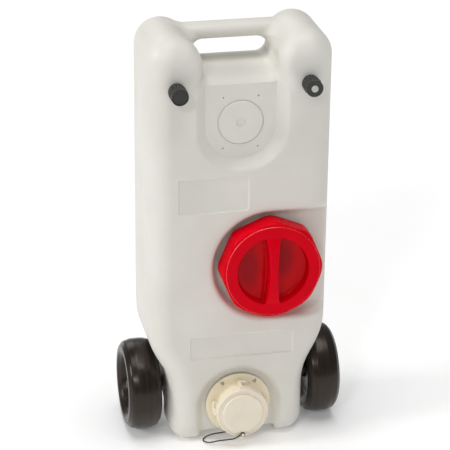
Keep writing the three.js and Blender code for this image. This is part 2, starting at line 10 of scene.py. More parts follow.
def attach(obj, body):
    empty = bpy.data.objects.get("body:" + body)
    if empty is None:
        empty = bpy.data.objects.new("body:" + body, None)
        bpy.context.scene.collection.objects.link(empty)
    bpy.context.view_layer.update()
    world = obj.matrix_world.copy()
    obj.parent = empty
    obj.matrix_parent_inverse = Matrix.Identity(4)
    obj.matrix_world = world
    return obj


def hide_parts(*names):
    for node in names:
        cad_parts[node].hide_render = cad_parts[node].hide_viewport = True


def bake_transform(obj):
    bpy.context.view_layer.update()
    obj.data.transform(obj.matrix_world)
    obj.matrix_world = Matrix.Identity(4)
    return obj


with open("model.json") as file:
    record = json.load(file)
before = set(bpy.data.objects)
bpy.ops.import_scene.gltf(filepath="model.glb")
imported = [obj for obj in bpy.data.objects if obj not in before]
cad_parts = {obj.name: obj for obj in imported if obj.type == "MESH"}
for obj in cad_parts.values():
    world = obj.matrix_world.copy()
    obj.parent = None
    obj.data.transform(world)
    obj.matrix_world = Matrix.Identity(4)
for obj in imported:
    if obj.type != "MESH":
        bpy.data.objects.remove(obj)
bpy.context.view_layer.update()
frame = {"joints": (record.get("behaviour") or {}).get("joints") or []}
scene = bpy.context.scene
MM = 0.001


# ---------------------------------------------------------------- camera and tether
def camera_matrix(azimuth, elevation, roll, place):
    """The camera looks at the front from the left and above; roll turns it about its own axis."""
    a, e, t = (math.radians(v) for v in (azimuth, elevation, roll))
    back = Vector((math.sin(a) * math.cos(e), -math.cos(a) * math.cos(e), math.sin(e)))
    right = Vector((math.cos(a), math.sin(a), 0))
    up = back.cross(right)
    r = right * math.cos(t) + up * math.sin(t)
    u = up * math.cos(t) - right * math.sin(t)
    return Matrix.Translation(place) @ Matrix((r, u, back)).transposed().to_4x4()


camera = bpy.data.objects.new("camera", bpy.data.cameras.new("camera"))
camera.data.sensor_width = 36
camera.data.lens = 158.82
camera.data.clip_end = 100
camera.matrix_world = camera_matrix(azimuth=-12.751, elevation=23.868, roll=0.6195,
                                    place=Vector((-0.80258, -3.48131, 2.01946)))
scene.collection.objects.link(camera)
scene.camera = camera

CORD_R = 1.35
# the route of the tether, in metres
TETHER = [
    (-0.0056, -0.1162, 0.0307), (-0.0115, -0.1173, 0.0273), (-0.0185, -0.1145, 0.0226),
    (-0.031, -0.1065, 0.0172), (-0.0455, -0.0986, 0.0124), (-0.058, -0.0925, 0.007),
    (-0.067, -0.084, 0.0034), (-0.0713, -0.0745, 0.0018), (-0.0695, -0.0665, 0.0018),
    (-0.0625, -0.0635, 0.0048), (-0.0515, -0.067, 0.0106), (-0.037, -0.0724, 0.0152),
    (-0.022, -0.0765, 0.0186), (-0.006, -0.0796, 0.0216), (0.008, -0.0802, 0.0246),
    (0.019, -0.0776, 0.0282), (0.0274, -0.0734, 0.031),
]


# ---------------------------------------------------------------- places and sizes in millimetres
def axis_of(name):
    """Where a joint's axis is at rest."""
    joint = next(j for j in frame["joints"] if j["name"] == name)
    return [round(v / MM, 3) for v in joint["pos_m"]]


FILL_X, _, FILL_Z = axis_of("fill_cap_turn")
OUTLET_Z = axis_of("outlet_cap_bayonet")[2]
VENT_X, _, VENT_Z = axis_of("right_vent_turn")
_, AXLE_Y, AXLE_Z = axis_of("right_wheel_spin")

FRONT, REAR, EDGE = -80, 120, 45  # the tank's front and back, and how round their edges are
HALF_WIDTH, HALF_FOOT, FOOT_CORNER = 180, 137, 40
FOOT_DROP = 3  # the outline runs this far below the floor, which trims it flat
SHOULDER_X, SHOULDER_Z, SHOULDER_R = 129.5, 799.5, 50.5
VALLEY_Z, VALLEY_FILLET = 770, 20
BAR_Y, BAR_Z, BAR_DEPTH, BAR_HEIGHT = 55, 827, 22, 16.5
POCKET_Y, POCKET_HALF, POCKET_CORNER, POCKET_Z = -60, 89, 84, 586  # its floor, width and lower end
DISC_Z, DISC_R = 678, 43.4  # the round disc in the pocket
SCOOP_Y, SCOOP_R = -50, 115
ARCH_Y, ARCH_R = -64.5, 88
HALF_GAP = 78  # between the feet
# each plate from low to high x and from low to high z
PLATES = ((-124, 15, 502.7, 576.7), (-100, 108.7, 188, 239.8))
PLATE_CORNER = 6
LUG_ANGLES = (-10, 80, 170, 260)  # degrees round the outlet, for its lugs and the cap's hooks
SCREW_X, SCREW_Z = 33, 48
PIN_DROP = 47.5  # the tether's pin is this far below the outlet's middle
PIN_Z = OUTLET_Z - PIN_DROP


# ---------------------------------------------------------------- meshes
def make(name, verts, faces, sharp=None):
    """A smooth shaded object from points in millimetres. Edges over `sharp` degrees stay crisp."""
    mesh = bpy.data.meshes.new(name)
    verts = np.asarray(verts, float) * MM
    if isinstance(faces, np.ndarray):
        mesh.vertices.add(len(verts))
        mesh.vertices.foreach_set("co", verts.ravel())
        mesh.loops.add(faces.size)
        mesh.loops.foreach_set("vertex_index", faces.ravel().astype(np.int32))
        mesh.polygons.add(len(faces))
        mesh.polygons.foreach_set("loop_start", np.arange(0, faces.size, faces.shape[1], dtype=np.int32))
        mesh.update(calc_edges=True)
        mesh.validate()
    else:
        mesh.from_pydata([tuple(v) for v in verts], [], faces)
    mesh.shade_smooth()
    if sharp:
        mesh.set_sharp_from_angle(angle=math.radians(sharp))
    obj = bpy.data.objects.new(name, mesh)
    scene.collection.objects.link(obj)
    return obj


def merged(parts):
    """Several (points, faces) lists as one."""
    verts, faces, base = [], [], 0
    for points, polys in parts:
        verts.extend([tuple(p) for p in points])
        faces.extend([tuple(int(i) + base for i in f) for f in polys])
        base += len(points)
    return verts, faces


def fillet(points, steps=5):
    """A polyline of (a, b) or (a, b, radius) with its corners rounded to that radius."""
    out = []
    n = len(points)
    for i, p in enumerate(points):
        here = np.array(p[:2], float)
        radius = p[2] if len(p) > 2 else 0
        if not radius or i in (0, n - 1):
            out.append(here)
            continue
        before = np.array(points[i - 1][:2], float) - here
        after = np.array(points[i + 1][:2], float) - here
        la, lb = np.linalg.norm(before), np.linalg.norm(after)
        before, after = before / la, after / lb
        half = math.acos(max(-1, min(1, float(before @ after)))) / 2
        reach = min(radius / math.tan(half), 0.49 * la, 0.49 * lb)
        radius = reach * math.tan(half)
        centre = here + (before + after) / np.linalg.norm(before + after) * radius / math.sin(half)
        a0, a1 = here + before * reach - centre, here + after * reach - centre
        turn = math.acos(max(-1, min(1, float(a0 @ a1) / radius**2)))
        for k in range(steps + 1):
            t = k / steps
            out.append(centre + (a0 * math.sin((1 - t) * turn) + a1 * math.sin(t * turn)) / math.sin(turn))
    return out


def turned(profile, segments=96, axis="front", at=(0, 0, 0), closed=False):
    """A (radius, height) profile turned about the height axis, which points out of the front, or to
    the right or left. Points on the axis close the surface."""
    points = [tuple(p) for p in profile]
    rings, verts, faces = [], [], []
    for r, h in points:
        if r < 1e-6:
            rings.append([len(verts)])
            verts.append((0, 0, h))
            continue
        rings.append(list(range(len(verts), len(verts) + segments)))
        for k in range(segments):
            a = 2 * math.pi * k / segments
            verts.append((r * math.cos(a), r * math.sin(a), h))
    pairs = list(zip(rings, rings[1:])) + ([(rings[-1], rings[0])] if closed else [])
    for low, high in pairs:
        for k in range(segments):
            n = (k + 1) % segments
            if len(low) == 1 and len(high) > 1:
                faces.append((low[0], high[n], high[k]))
            elif len(high) == 1 and len(low) > 1:
                faces.append((low[k], low[n], high[0]))
            elif len(low) > 1:
                faces.append((low[k], low[n], high[n], high[k]))
    x, y, z = at
    turns = {
        "front": lambda p: (x + p[0], y - p[2], z + p[1]),
        "right": lambda p: (x + p[2], y + p[0], z + p[1]),
        "left": lambda p: (x - p[2], y - p[0], z + p[1]),
    }
    verts = [turns[axis](p) for p in verts]
    return verts, outward(verts, faces)


def outward(verts, faces):
    """The same faces, all turned round if the closed surface that they make is inside out."""
    v = np.asarray(verts, float)
    volume = 0.0
    for f in faces:
        for i in range(1, len(f) - 1):
            volume += float(np.dot(v[f[0]], np.cross(v[f[i]], v[f[i + 1]])))
    return faces if volume > 0 else [tuple(reversed(f)) for f in faces]


def tube(points, radius, sides=12, per_step=4, closed=False):
    """A round tube along a smooth curve through points; returns it and the curve's own points."""
    p = [Vector(q) for q in points]
    n = len(p)
    spans = n if closed else n - 1
    pick = (lambda i: p[i % n]) if closed else (lambda i: p[max(0, min(n - 1, i))])
    line = []
    for i in range(spans):
        a, b, c, d = pick(i - 1), pick(i), pick(i + 1), pick(i + 2)
        for k in range(per_step):
            t = k / per_step
            line.append(0.5 * (2 * b + (c - a) * t + (2 * a - 5 * b + 4 * c - d) * t**2
                               + (3 * b - a - 3 * c + d) * t**3))
    if not closed:
        line.append(p[-1].copy())
    count = len(line)
    ahead = lambda i: line[(i + 1) % count] if closed else line[min(i + 1, count - 1)]
    behind = lambda i: line[(i - 1) % count] if closed else line[max(i - 1, 0)]
    normal = Vector((0, 0, 1))
    verts, faces = [], []
    for i in range(count):
        way = (ahead(i) - behind(i)).normalized()
        normal = (normal - way * normal.dot(way)).normalized()
        side = way.cross(normal)
        for k in range(sides):
            a = 2 * math.pi * k / sides
            verts.append(line[i] + (normal * math.cos(a) + side * math.sin(a)) * radius)
    for i in range(count if closed else count - 1):
        for k in range(sides):
            n1, j = (k + 1) % sides, (i + 1) % count
            faces.append((i * sides + k, i * sides + n1, j * sides + n1, j * sides + k))
    if not closed:
        for ring, flip in ((0, False), (count - 1, True)):
            middle = len(verts)
            way = (ahead(ring) - behind(ring)).normalized() * (radius * 0.5)
            verts.append(line[ring] + (way if flip else -way))
            for k in range(sides):
                a, b = ring * sides + k, ring * sides + (k + 1) % sides
                faces.append((a, b, middle) if flip else (b, a, middle))
    return verts, outward(verts, faces), line


# ---------------------------------------------------------------- distance fields
def length(a, b):
    return np.sqrt(a * a + b * b)


def cap_both(a, b, r):
    """Intersection of two fields with its outer edge rounded to r."""
    if r <= 0:
        return np.maximum(a, b)
    return np.minimum(-r, np.maximum(a, b)) + length(np.maximum(a + r, 0), np.maximum(b + r, 0))


def cut_out(a, tool, r):
    return cap_both(a, -tool, r)


def blend_in(a, b, r):
    """Union of two fields with its inner corner filled to r."""
    return np.maximum(r, np.minimum(a, b)) - length(np.maximum(r - a, 0), np.maximum(r - b, 0))


def rounded_plate(side, thick, r):
    """A flat shape `side` (a field in its plane) made `thick` (a field across it), edges rounded."""
    a, b = side + r, thick + r
    return np.minimum(np.maximum(a, b), 0) + length(np.maximum(a, 0), np.maximum(b, 0)) - r


def slab(v, low, high):
    return np.abs(v - (low + high) / 2) - (high - low) / 2


def surface(field, low, high, cell, relax=2):
    """The zero surface of a field as quads: one point per cell that it crosses, moved onto it."""
    axes = [np.arange(a - cell, b + 2 * cell, cell, dtype=np.float32) for a, b in zip(low, high)]
    value = field(axes[0][:, None, None], axes[1][None, :, None], axes[2][None, None, :])
    shape = tuple(len(a) for a in axes)
    value = np.ascontiguousarray(np.broadcast_to(value, shape), dtype=np.float32)
    inside = value < 0
    index = -np.ones(shape, np.int64)
    quads, hits = [], []
    for axis in range(3):
        ahead = [slice(None)] * 3
        behind = [slice(None)] * 3
        ahead[axis], behind[axis] = slice(1, None), slice(None, -1)
        crossing = inside[tuple(behind)] != inside[tuple(ahead)]
        where = np.argwhere(crossing)
        v0 = value[tuple(behind)][crossing]
        v1 = value[tuple(ahead)][crossing]
        point = np.stack([axes[k][where[:, k]] for k in range(3)], 1).astype(float)
        point[:, axis] += cell * v0 / (v0 - v1)
        b, c = (axis + 1) % 3, (axis + 2) % 3
        around = []
        for db, dc in ((0, 0), (-1, 0), (-1, -1), (0, -1)):
            near = where.copy()
            near[:, b] += db
            near[:, c] += dc
            around.append(near)
        hits.append((around, point))
        quads.append((around, inside[tuple(behind)][crossing]))
    every = np.concatenate([near for around, _ in hits for near in around])
    flat = np.ravel_multi_index(every.T, shape)
    unique, inverse = np.unique(flat, return_inverse=True)
    index.ravel()[unique] = np.arange(len(unique))
    count = len(unique)
    total, number = np.zeros((count, 3)), np.zeros(count)
    spot = 0
    for around, point in hits:
        for near in around:
            ids = inverse[spot:spot + len(near)]
            spot += len(near)
            number += np.bincount(ids, minlength=count)
            for k in range(3):
                total[:, k] += np.bincount(ids, weights=point[:, k], minlength=count)
    verts = total / number[:, None]
    faces = []
    for around, first_inside in quads:
        q = np.stack([index[tuple(near.T)] for near in around], 1)
        q[~first_inside] = q[~first_inside][:, ::-1]
        faces.append(q)
    faces = np.concatenate(faces)
    verts = onto(field, verts, cell)
    for _ in range(relax):
        total, number = np.zeros_like(verts), np.zeros(count)
        for a, b in ((0, 1), (1, 2), (2, 3), (3, 0)):
            for i, j in ((a, b), (b, a)):
                number += np.bincount(faces[:, i], minlength=count)
                for k in range(3):
                    total[:, k] += np.bincount(faces[:, i], weights=verts[faces[:, j], k], minlength=count)
        verts = onto(field, 0.5 * verts + 0.5 * total / number[:, None], cell)
    return verts, faces


def onto(field, points, cell):
    """Points moved along the field's slope onto its zero surface."""
    eps = 0.05 * cell
    for _ in range(3):
        x, y, z = points.T
        d = field(x, y, z)
        g = np.stack([
            field(x + eps, y, z) - field(x - eps, y, z),
            field(x, y + eps, z) - field(x, y - eps, z),
            field(x, y, z + eps) - field(x, y, z - eps),
        ], 1) / (2 * eps)
        step = d[:, None] * g / np.maximum((g * g).sum(1), 0.3)[:, None]
        size = np.linalg.norm(step, axis=1)
        step *= np.minimum(1, 0.7 * cell / np.maximum(size, 1e-9))[:, None]
        points = points - step
    return points


# ---------------------------------------------------------------- tank
def front_outline():
    """The right half of the tank seen from the front, from its foot up to the valley's middle."""
    points = [(0, -FOOT_DROP), (HALF_FOOT - FOOT_CORNER, -FOOT_DROP)]
    middle_x, middle_z = HALF_FOOT - FOOT_CORNER, FOOT_CORNER - FOOT_DROP
    points += [(middle_x + FOOT_CORNER * math.sin(a), middle_z - FOOT_CORNER * math.cos(a))
               for a in np.linspace(0, math.pi / 2, 9)[1:]]
    # the flank swings out from the foot to the full width
    ends = [(HALF_FOOT, 102), (HALF_FOOT, 172), (HALF_WIDTH - 2, 182), (HALF_WIDTH, 257)]
    p0, p1, p2, p3 = (np.array(p, float) for p in ends)
    for t in np.linspace(0, 1, 31):
        u = 1 - t
        points.append(tuple(u**3 * p0 + 3 * u * u * t * p1 + 3 * u * t * t * p2 + t**3 * p3))
    points += [(SHOULDER_X + SHOULDER_R * math.cos(a), SHOULDER_Z + SHOULDER_R * math.sin(a))
               for a in np.linspace(0, math.pi, 41)]
    middle_x, middle_z = SHOULDER_X - SHOULDER_R - VALLEY_FILLET, VALLEY_Z + VALLEY_FILLET
    points += [(middle_x + VALLEY_FILLET * math.cos(a), middle_z - VALLEY_FILLET * math.sin(a))
               for a in np.linspace(0, math.pi / 2, 11)]
    points.append((0, VALLEY_Z))
    return np.array(points)


class Sheet:
    """Signed distance to the front outline, sampled once on a grid and read back between its points."""

    def __init__(self, outline, low, high, step):
        self.low, self.step = low, step
        x = np.arange(low[0], high[0], step)[:, None]
        z = np.arange(low[1], high[1], step)[None, :]
        best = np.full((x.shape[0], z.shape[1]), 1e9)
        inside = np.zeros_like(best, bool)
        loop = list(zip(outline, outline[1:]))
        for (ax, az), (bx, bz) in loop:
            ux, uz = bx - ax, bz - az
            t = np.clip(((x - ax) * ux + (z - az) * uz) / (ux * ux + uz * uz), 0, 1)
            best = np.minimum(best, (x - ax - t * ux) ** 2 + (z - az - t * uz) ** 2)
        for (ax, az), (bx, bz) in loop + [(outline[-1], outline[0])]:
            if az != bz:
                over = (az > z) != (bz > z)
                inside ^= over & (x < (bx - ax) * (z - az) / (bz - az) + ax)
        self.value = np.where(inside, -1, 1) * np.sqrt(best)

    def __call__(self, x, z):
        i = np.clip((x - self.low[0]) / self.step, 0, self.value.shape[0] - 1.001)
        k = np.clip((z - self.low[1]) / self.step, 0, self.value.shape[1] - 1.001)
        i0, k0 = i.astype(int), k.astype(int)
        u, w = i - i0, k - k0
        v = self.value
        return (v[i0, k0] * (1 - u) * (1 - w) + v[i0 + 1, k0] * u * (1 - w)
                + v[i0, k0 + 1] * (1 - u) * w + v[i0 + 1, k0 + 1] * u * w)


OUTLINE = Sheet(front_outline(), (-4, -70), (260, 930), 2.0)
WALL_45, WALL_1_IN_3 = 0.7071, 0.9487  # turn the sum along a sloping wall into a true distance


def falling(v, start, reach):
    """2 up to start, then down to 0 over the reach along half a cosine wave."""
    return 1 + np.cos(math.pi * np.clip((v - start) / reach, 0, 1))


def tank_field(x, y, z):
    ax = np.abs(x)
    # the valley between the shoulders sinks towards the front, so it rolls over more softly there
    near = np.clip((FRONT + 60 - y) / 60, 0, 1) ** 1.6
    sink = 7.5 * near * np.clip((z - 640) / 60, 0, 1) * falling(ax, 66, 40)
    # and the inner walls of the shoulders run nearly straight out to it
    narrow = 12 * near * np.clip((z - 750) / 36, 0, 1) * falling(ax, 84, 46)
    d = rounded_plate(OUTLINE(ax + narrow, z + sink), slab(y, FRONT, REAR), EDGE)
    # handle bar, an ellipse whose blend into the tank widens downwards
    p, q = (y - BAR_Y) / BAR_DEPTH, (z - BAR_Z) / BAR_HEIGHT
    size = np.maximum(length(p, q), 1e-6)
    bar = size * (size - 1) / np.maximum(length(p / BAR_DEPTH, q / BAR_HEIGHT), 1e-6)
    d = blend_in(d, np.maximum(bar, ax - 112), 10 + 18 * np.clip((838 - z) / 20, 0, 1))
    # scoop round the fill cap, open to the right
    plan = np.where(x > FILL_X, np.abs(z - FILL_Z), length(x - FILL_X, z - FILL_Z)) - SCOOP_R
    d = cut_out(d, cap_both((plan + (y - FRONT) / 3) * WALL_1_IN_3, y - SCOOP_Y, 7), 6)
    # arch round the outlet
    plan = np.where(z > OUTLET_Z, length(x, z - OUTLET_Z), ax) - ARCH_R
    d = cut_out(d, cap_both((plan + y - FRONT) * WALL_45, y - ARCH_Y, 3), 3)
    # between the feet, and the raised underside behind them
    d = cut_out(d, cap_both(ax - HALF_GAP, z - 18, 5), 6)
    d = cut_out(d, cap_both(14 - y, np.minimum(z - 62, (z - y - 2) * WALL_45), 12), 8)
    # axle channel and wheel wells
    from_axle = length(y - AXLE_Y, z - AXLE_Z)
    channel = np.minimum(from_axle - 6.6, np.maximum(np.abs(y - AXLE_Y) - 4.6, z - AXLE_Z))
    d = cut_out(d, channel, 1)
    d = cut_out(d, cap_both(145 - ax, from_axle - 100, 6), 7)
    # grooves down the back
    plan = length(ax - 60, z - np.clip(z, 260, 690)) - 13
    d = cut_out(d, cap_both((plan + REAR - y) * WALL_45, REAR - 9 - y, 3), 5)
    return np.maximum(d, -z)


def thread(radius, rise, pitch, turns, start, width, at, steps=48):
    """A right-hand thread ridge about an axis that points out of the front."""
    verts, faces = [], []
    count = int(turns * steps)
    x, y, z = at
    for i in range(count + 1):
        a = 2 * math.pi * i / steps
        h = start + pitch * i / steps
        fade = min(1, min(i, count - i) / (steps * 0.12) + 0.1)
        for r, dh in ((-0.5, -0.5), (rise * fade, -0.22), (rise * fade, 0.22), (-0.5, 0.5)):
            verts.append((x + (radius + r) * math.sin(a), y - h - dh * width, z - (radius + r) * math.cos(a)))
    for i in range(count):
        for k in range(4):
            a, b = 4 * i + k, 4 * i + (k + 1) % 4
            faces.append((a, b, b + 4, a + 4))
    last = 4 * count
    faces += [(3, 2, 1, 0), (last, last + 1, last + 2, last + 3)]
    return verts, outward(verts, faces)


def neck(radius, bore, inside, end, at, ridge):
    """A threaded tube that starts `inside` behind its place and ends `end` in front of it."""
    profile = fillet([(bore, -inside), (bore, end, 0.8), (radius, end, 0.8), (radius, -inside)])
    return merged([turned(profile, 96, at=at, closed=True), thread(at=at, **ridge)])


def lofted(rings):
    """A closed solid through rings of points, which all have the same number of points."""
    n = len(rings[0])
    points = [p for ring in rings for p in ring]
    polys = [tuple(range(n)), tuple(reversed(range(len(points) - n, len(points))))]
    for i in range(len(rings) - 1):
        for k in range(n):
            a, b = i * n + k, i * n + (k + 1) % n
            polys.append((b, a, a + n, b + n))
    return points, outward(points, polys)


def pocket_tool():
    """What is cut from the top of the front: a U with a sloping wall and a soft lip."""
    wall = [(18, -130), (9, -130), (9, FRONT - 0.12), (0.05, FRONT + 0.05, 12), (-20, POCKET_Y, 2.2)]
    profile = fillet(wall + [(-30, POCKET_Y)], 6)[1:-1]
    rings = []
    for grow, y in profile:
        half, radius, low = POCKET_HALF + grow, POCKET_CORNER + grow, POCKET_Z - grow
        path = [(half, z) for z in np.linspace(880, low + radius, 20)[:-1]]
        path += [(half - radius + radius * math.cos(a), low + radius - radius * math.sin(a))
                 for a in np.linspace(0, math.pi / 2, 33)]
        path += [(-x, z) for x, z in reversed(path)]
        rings.append([(x, y, z) for x, z in path])
    return lofted(rings)


def plate_tool(x0, x1, z0, z1):
    """What is cut from the front for a plate: a rectangle with round corners and a sloping wall."""
    r = PLATE_CORNER
    corners = ((x1 - r, z1 - r), (x0 + r, z1 - r), (x0 + r, z0 + r), (x1 - r, z0 + r))
    rings = []
    for grow, y in ((1.5, -81.5), (0.1, -79.9), (-1.9, -77.8), (-2.6, -77.5)):
        rings.append([(x + (r + grow) * math.cos(a), y, z + (r + grow) * math.sin(a))
                      for turn, (x, z) in enumerate(corners)
                      for a in np.linspace(turn * math.pi / 2, (turn + 1) * math.pi / 2, 6)])
    return lofted(rings)


def cut_from(body, tools):
    """Cuts closed tools out of an object's mesh."""
    tool = make("tool", *merged(tools))
    modifier = body.modifiers.new("cut", "BOOLEAN")
    modifier.operation, modifier.solver, modifier.object = "DIFFERENCE", "MANIFOLD", tool
    bpy.context.view_layer.update()
    result = bpy.data.meshes.new_from_object(body.evaluated_get(bpy.context.evaluated_depsgraph_get()))
    body.modifiers.clear()
    body.data = result
    bpy.data.objects.remove(tool)


def points_and_faces(mesh):
    """A mesh as (points in millimetres, faces)."""
    points = np.zeros(len(mesh.vertices) * 3)
    mesh.vertices.foreach_get("co", points)
    return points.reshape(-1, 3) / MM, [tuple(p.vertices) for p in mesh.polygons]


def tank():
    shell = make("shell", *surface(tank_field, (-184, -84, 0), (184, 124, 854), 3.35, relax=3))
    cut_from(shell, [pocket_tool(), *(plate_tool(*plate) for plate in PLATES)])
    # four small round marks in the pocket, and a groove round its disc
    mark = [(0, -4), (1.5, -3.6), (1.7, 4), (0, 4)]
    marks = [turned(mark, 20, at=(x, POCKET_Y, z)) for x in (-34, 34) for z in (627, 729)]
    groove = [(43.1, -1.6), (44.7, -1.6), (45.3, 3), (43.1, 3)]
    marks.append(turned(groove, 128, at=(0, POCKET_Y, DISC_Z), closed=True))
    cut_from(shell, marks)
    # the pocket's disc, the fill neck and the vent spigots are moulded with the tank
    edge = [(0, 0.4), (8.2, 0.4, 0.4), (9.2, 3.2, 0.4), (40.6, 3.2, 1.6), (DISC_R, 0.4), (DISC_R, -2)]
    disc = turned(fillet(edge) + [(0, -2)], 128, at=(0, POCKET_Y, DISC_Z))
    fill_thread = dict(radius=88, rise=2.2, pitch=10, turns=1.5, start=26, width=3.6)
    fill = neck(88, 82, 3, 50, (FILL_X, SCOOP_Y, FILL_Z), fill_thread)
    vent_thread = dict(radius=11.4, rise=1, pitch=3, turns=1.5, start=17.5, width=1.3)
    vents = [neck(11.4, 9.3, 4, 27, (x, FRONT, VENT_Z), vent_thread) for x in (-VENT_X, VENT_X)]
    parts = [points_and_faces(shell.data), disc, fill, *vents]
    bpy.data.objects.remove(shell)
    return make("tank_body", *merged(parts), sharp=32)


# ---------------------------------------------------------------- fill cap
def octagon(x, z, corner, rounding):
    """Distance to a regular octagon with a corner on each axis, its corners rounded."""
    a = np.arctan2(z, x)
    sector = math.pi / 4
    a = np.abs((a + 16 * sector) % sector - sector / 2)
    r = length(x, z)
    px, pz = r * np.cos(a), r * np.sin(a)
    apothem, half = corner * math.cos(sector / 2), corner * math.sin(sector / 2)
    beside = length(px - apothem, np.maximum(pz - half, 0))
    return np.where(px > apothem, beside, px - apothem) - rounding


def fill_cap_field(x, y, z):
    back, face, recess = 65, 108, 88  # distances in front of y = 0
    ring_r, recess_r, rib_top = 93.6, 70, 120
    x, z, h = x - FILL_X, z - FILL_Z, -y
    r = length(x, z)
    # the octagon, its corners cut by a cone, and the round ring in front of it
    body = cap_both(octagon(x, z, 66, 35.5), (r - 103.5 + (h - 96.5) * 0.75) * 0.8, 2.5)
    body = cap_both(body, h - 105.2, 1.0)
    body = blend_in(body, rounded_plate(r - ring_r, slab(h, 92, face), 1.1), 1.2)
    body = cap_both(body, back - h, 1.5)
    # the sunk face, slightly domed, and the hollow behind it
    floor_h = recess - 0.6 + 1.4 * (r / recess_r) ** 2
    body = cut_out(body, cap_both(r - recess_r - (h - recess) * 0.06, floor_h - h, 4), 1.2)
    hollow = np.maximum(np.maximum(r - 91.5, h - 103.6), -np.maximum(r - 74.5, 84 - h))
    body = np.maximum(body, -hollow)
    # the rib, wider at its ends and arched, with a small round pip
    s = np.clip(z / recess_r, -1.1, 1.1)
    rib = rounded_plate(np.abs(x) - 7.6 - 6.8 * s * s, h - (face + (rib_top - face) * (1 - s * s)), 1.8)
    rib = np.maximum(rib, np.maximum(84 - h, np.abs(z) - 72))
    body = blend_in(body, rib, 2.2)
    pip = np.sqrt((x - 0.5) ** 2 + (h - 119.4) ** 2 + (z + 2) ** 2) - 1.7
    return np.minimum(body, pip)


# ---------------------------------------------------------------- outlet
def wedge(x, z, middle, half):
    """Distance to a slice of `half` degrees each side of its middle angle."""
    m = math.radians(middle)
    u, v = x * math.cos(m) + z * math.sin(m), -x * math.sin(m) + z * math.cos(m)
    return np.maximum(np.abs(v) - np.maximum(u, 0) * math.tan(math.radians(half)), -u)


def flange_field(x, y, z):
    z, h = z - OUTLET_Z, -y
    r = length(x, z)
    plate = rounded_plate(r - 66, slab(h, 66.8, 71.8), 1.4)
    spout = rounded_plate(r - 45, slab(h, 54.5, 104), 1.0)
    body = blend_in(plate, spout, 3)
    for a in LUG_ANGLES:
        lug = rounded_plate(cap_both(wedge(x, z, a, 5), r - 50, 0.8), slab(h, 88, 93), 0.7)
        body = blend_in(body, np.maximum(lug, 43 - r), 1)
    return np.maximum(body, 40 - r)


def outlet_cap_field(x, y, z):
    z, h = z - OUTLET_Z, -y
    r = length(x, z)
    cup = rounded_plate(r - 51.9, slab(h, 97, 114.5), 1.5)
    # a shallow step inside the rim, and the raised disc
    cup = cut_out(cup, np.maximum(r - 48.8, 113.2 - h), 0.5)
    cup = blend_in(cup, rounded_plate(r - 40.5, slab(h, 100, 118), 1.1), 0.9)
    cup = np.maximum(cup, -np.maximum(r - 45.8, h - 108.5))
    for a in LUG_ANGLES:
        post = np.maximum(wedge(x, z, a + 11.4, 3.2), slab(h, 79.5, 108))
        foot = np.maximum(wedge(x, z, a + 4.5, 10), slab(h, 79.5, 86.4))
        arm = cap_both(np.minimum(post, foot), np.maximum(r - 55.8, 46.5 - r), 0.9)
        cup = blend_in(cup, arm, 0.6)
    tail = length(x, z - np.clip(z, -57.6, -46)) - 2.3
    cup = blend_in(cup, rounded_plate(tail, slab(h, 110.6, 114), 0.7), 0.8)
    pin_hole = np.maximum(length(x, z + PIN_DROP) - 1.9, 108.8 - h)
    return np.maximum(cup, -pin_hole)


def screw_field(x, y, z):
    h, r = -y, length(x, z)
    head = np.maximum(np.sqrt(r * r + (h + 2.4) ** 2) - 5.1, np.maximum(r - 4.2, -h))
    head = cap_both(head, np.maximum(r - 4.2, -h), 0.3)
    slot = np.minimum(np.maximum(np.abs(x) - 0.8, np.abs(z) - 3), np.maximum(np.abs(z) - 0.8, np.abs(x) - 3))
    head = np.maximum(head, -np.maximum(slot + np.maximum(2.7 - h, 0) * 0.3, 1.3 - h))
    return np.minimum(head, np.maximum(r - 2, slab(h, -4, 0.5)))


# ---------------------------------------------------------------- vents
def vent_cap_field(x, y, z, valve):
    h, r = -y, length(x, z)
    a = np.arctan2(z, x)
    ridge = 0.95 * np.cos(20 * a) * np.clip((h - 5) / 2, 0, 1) * np.clip((28.5 - h) / 2, 0, 1)
    flank = (r - 16.4 - np.where(np.abs(h - 17) < 14, ridge, 0 * r)) * 0.8
    body = cap_both(np.minimum(flank, 50), slab(h, 2, 37.5), 1.0)
    if valve:
        body = cut_out(body, np.maximum(r - 7.1, 20 - h), 0.6)
        body = np.maximum(body, -np.maximum(r - 13.8, h - 19.2))
    else:
        dish = cap_both(r - 14.6, 36.6 - h - 0.7 * (r / 14.6) ** 2, 0.4)
        body = cut_out(body, dish, 0.5)
        body = np.maximum(body, -np.maximum(r - 13.8, h - 29.6))
    return body


# ---------------------------------------------------------------- wheels
def wheel_profile():
    skin = [
        (6.4, 0, 1), (18, 0, 1.5), (20, 13, 3), (56, 14, 5), (68, 0.5, 6), (79, 0.5, 7), (88, 8, 10),
        (91.6, 22, 20), (92, 34, 30), (91.6, 46, 20), (88, 60, 10), (79, 67.5, 7), (69, 67.5, 5),
        (61, 60, 8), (53, 37.5, 7), (20, 35.5, 3), (18, 46, 1.5), (6.4, 46, 1),
    ]
    return fillet(skin + [skin[0]], steps=7)[:-1]


def wheel(name, side):
    at = (side * 150, AXLE_Y, AXLE_Z)
    axis = "right" if side > 0 else "left"
    parts = [turned(wheel_profile(), 180, axis, at, closed=True)]
    # ribs in the dish, between the hub and the rim
    for rib in range(12):
        a = 2 * math.pi * (rib + 0.5) / 12
        c, s = math.cos(a), math.sin(a)
        points = []
        for r, h in ((17, 33), (17, 41), (30, 38.6), (50, 37.6), (54, 35)):
            for w in (-1.5, 1.5):
                y, z = c * r - s * w, s * r + c * w
                points.append((at[0] + side * h, at[1] + side * y, at[2] + z))
        polys = [(k, k + 1, k + 3, k + 2) for k in (0, 2, 4, 6)]
        polys += [(0, 2, 4, 6, 8), (9, 7, 5, 3, 1), (8, 9, 1, 0)]
        parts.append((points, outward(points, polys)))
    return make(name, *merged(parts), sharp=35)


